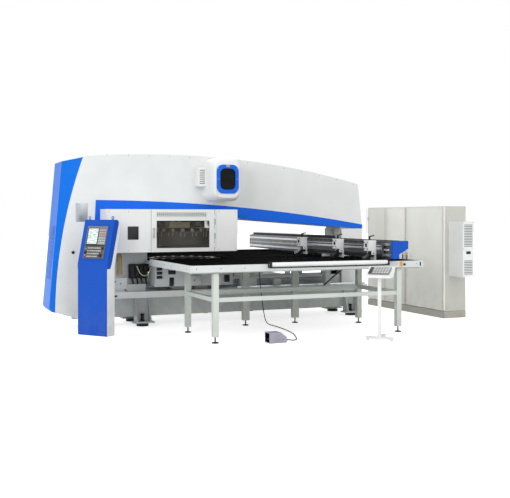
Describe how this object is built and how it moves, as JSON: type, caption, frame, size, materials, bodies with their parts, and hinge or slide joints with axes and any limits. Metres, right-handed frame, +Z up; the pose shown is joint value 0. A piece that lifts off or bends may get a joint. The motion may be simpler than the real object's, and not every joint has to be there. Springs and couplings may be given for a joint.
{
  "type": "cnc turret punch press",
  "caption": "Turret punch press: closed frame in white and blue covers, brush tables, cross beam with sheet clamps, guarded turret, console, switch cabinet and foot pedal.",
  "frame": {"origin": "floor level at the middle of the whole layout's plan", "axes": "+X along the press from its blue end to the switch cabinet, +Y from the operator's side to the rear, +Z up"},
  "size_m": [6.075, 5.428, 2.4154],
  "materials": {
    "white_paint": "fine textured powder coat",
    "grey_paint": "light grey powder coat",
    "cabinet_paint": "textured light grey powder coat",
    "blue_paint": "gloss blue paint",
    "frame_paint": "grey machine paint",
    "ground_steel": "ground and lightly oiled",
    "dark_steel": "blackened",
    "tool_steel": "turned, straw coloured",
    "brush": "dense black bristle",
    "smoked_glass": "smoked sheet",
    "dark_glass": "dark glossy",
    "panel_plastic": "matt grey",
    "black_plastic": "gloss black",
    "pedal_plastic": "satin grey violet",
    "black_rubber": "matt black"
  },
  "bodies": {
    "press": {"press_frame": "frame_paint", "front_cover": "white_paint", "rear_cover": "white_paint", "top_cover": "white_paint", "right_column_cover": "white_paint", "left_end_cover": "blue_paint", "belt_stripe": "blue_paint", "ram_hood": "white_paint", "hood_ring": "blue_paint", "hood_window": "dark_glass", "hood_side_vent": "white_paint", "ram_cylinder": "ground_steel", "turret_bearings": "ground_steel", "die_support": "ground_steel", "guard_housing": "white_paint", "guard_door_pin": "ground_steel", "rail_beams": "white_paint", "guide_rails": "ground_steel", "machine_feet": "frame_paint", "base_boxes": "grey_paint", "table_tops": "brush", "table_rims": "white_paint", "table_legs": "grey_paint", "table_rails": "grey_paint", "centre_table": "brush", "levelling_feet": "dark_steel", "roller_brackets": "dark_steel", "console_body": "blue_paint", "console_panel": "panel_plastic", "cabinet_body": "cabinet_paint", "cooler": "white_paint", "remote_stand": "white_paint", "pedal_hood": "pedal_plastic", "pedal_cord": "black_rubber"},
    "guard_door": {"guard_door": "white_paint", "guard_window": "smoked_glass", "guard_handle": "ground_steel"},
    "ram": {"ram": "ground_steel"},
    "turret_upper": {"turret_upper": "ground_steel", "punches": "tool_steel"},
    "turret_lower": {"turret_lower": "dark_steel"},
    "cross_beam": {"cross_beam": "ground_steel", "beam_caps": "blue_paint", "beam_rails": "ground_steel", "saddles": "grey_paint"},
    "carriage": {"carriage": "ground_steel", "clamp_bodies": "white_paint", "clamp_anvils": "dark_steel"},
    "loading_roller": {"loading_roller": "white_paint"},
    "console_stop": {"console_stop": "black_plastic"},
    "pedal_treadle": {"pedal_treadle": "black_rubber"},
    "clamp_jaw_1": {"clamp_jaw_1": "dark_steel"},
    "clamp_lever_1": {"clamp_lever_1": "dark_steel"},
    "cabinet_door_1": {"cabinet_door_1": "cabinet_paint"},
    "clamp_jaw_2": {"clamp_jaw_2": "dark_steel"},
    "clamp_lever_2": {"clamp_lever_2": "dark_steel"},
    "cabinet_door_2": {"cabinet_door_2": "cabinet_paint"},
    "clamp_jaw_3": {"clamp_jaw_3": "dark_steel"},
    "clamp_lever_3": {"clamp_lever_3": "dark_steel"},
    "cabinet_door_3": {"cabinet_door_3": "cabinet_paint"}
  },
  "joints": [
    {"name": "guard_door_hinge", "type": "hinge", "parent": "press", "child": "guard_door", "pos_m": [-0.8065, -0.375, 1.3], "axis": [0, 0, 1], "range_deg": [0, 100]},
    {"name": "ram_stroke", "type": "slide", "parent": "press", "child": "ram", "axis": [0, 0, -1], "range_m": [0, 0.03]},
    {"name": "turret_index", "type": "hinge", "parent": "press", "child": "turret_upper", "pos_m": [-1.0675, 0.309, 1.225], "axis": [0, 0, 1], "continuous": true},
    {"name": "lower_turret_index", "type": "hinge", "parent": "press", "child": "turret_lower", "pos_m": [-1.0675, 0.309, 0.835], "axis": [0, 0, 1], "continuous": true},
    {"name": "beam_travel", "type": "slide", "parent": "press", "child": "cross_beam", "axis": [1, 0, 0], "range_m": [-1.25, 0]},
    {"name": "carriage_travel", "type": "slide", "parent": "cross_beam", "child": "carriage", "axis": [0, 1, 0], "range_m": [0, 2]},
    {"name": "clamp_jaw_1_open", "type": "hinge", "parent": "carriage", "child": "clamp_jaw_1", "pos_m": [0.9172, -1.71101, 1.045], "axis": [0, 1, 0], "range_deg": [0, 12]},
    {"name": "clamp_lever_1_turn", "type": "hinge", "parent": "carriage", "child": "clamp_lever_1", "pos_m": [0.8922, -1.71101, 1.23], "axis": [0, 0, 1], "range_deg": [0, 90]},
    {"name": "clamp_jaw_2_open", "type": "hinge", "parent": "carriage", "child": "clamp_jaw_2", "pos_m": [0.9172, -0.836, 1.045], "axis": [0, 1, 0], "range_deg": [0, 12]},
    {"name": "clamp_lever_2_turn", "type": "hinge", "parent": "carriage", "child": "clamp_lever_2", "pos_m": [0.8922, -0.836, 1.23], "axis": [0, 0, 1], "range_deg": [0, 90]},
    {"name": "clamp_jaw_3_open", "type": "hinge", "parent": "carriage", "child": "clamp_jaw_3", "pos_m": [0.9172, 0.32399, 1.045], "axis": [0, 1, 0], "range_deg": [0, 12]},
    {"name": "clamp_lever_3_turn", "type": "hinge", "parent": "carriage", "child": "clamp_lever_3", "pos_m": [0.8922, 0.32399, 1.23], "axis": [0, 0, 1], "range_deg": [0, 90]},
    {"name": "roller_spin", "type": "hinge", "parent": "press", "child": "loading_roller", "pos_m": [0.1305, -2.04101, 0.94], "axis": [1, 0, 0], "continuous": true},
    {"name": "stop_press", "type": "slide", "parent": "press", "child": "console_stop", "axis": [0.7621, 0.5954, -0.2545], "range_m": [0, 0.006], "stiffness_N_per_m": 800},
    {"name": "treadle_press", "type": "hinge", "parent": "press", "child": "pedal_treadle", "pos_m": [-0.6125, -2.14601, 0.045], "axis": [0, -1, 0], "range_deg": [0, 8], "stiffness_Nm_per_rad": 6, "springref_deg": -5.73},
    {"name": "cabinet_door_1_hinge", "type": "hinge", "parent": "press", "child": "cabinet_door_1", "pos_m": [2.6302, -0.957, 0.9], "axis": [0, 0, 1], "range_deg": [0, 100]},
    {"name": "cabinet_door_2_hinge", "type": "hinge", "parent": "press", "child": "cabinet_door_2", "pos_m": [2.6302, 0.62499, 0.9], "axis": [0, 0, -1], "range_deg": [0, 100]},
    {"name": "cabinet_door_3_hinge", "type": "hinge", "parent": "press", "child": "cabinet_door_3", "pos_m": [2.6302, 1.225, 0.9], "axis": [0, 0, -1], "range_deg": [0, 100]}
  ],
  "couplings": [
    {"joint": "lower_turret_index", "follows": "turret_index", "ratio": 1}
  ]
}
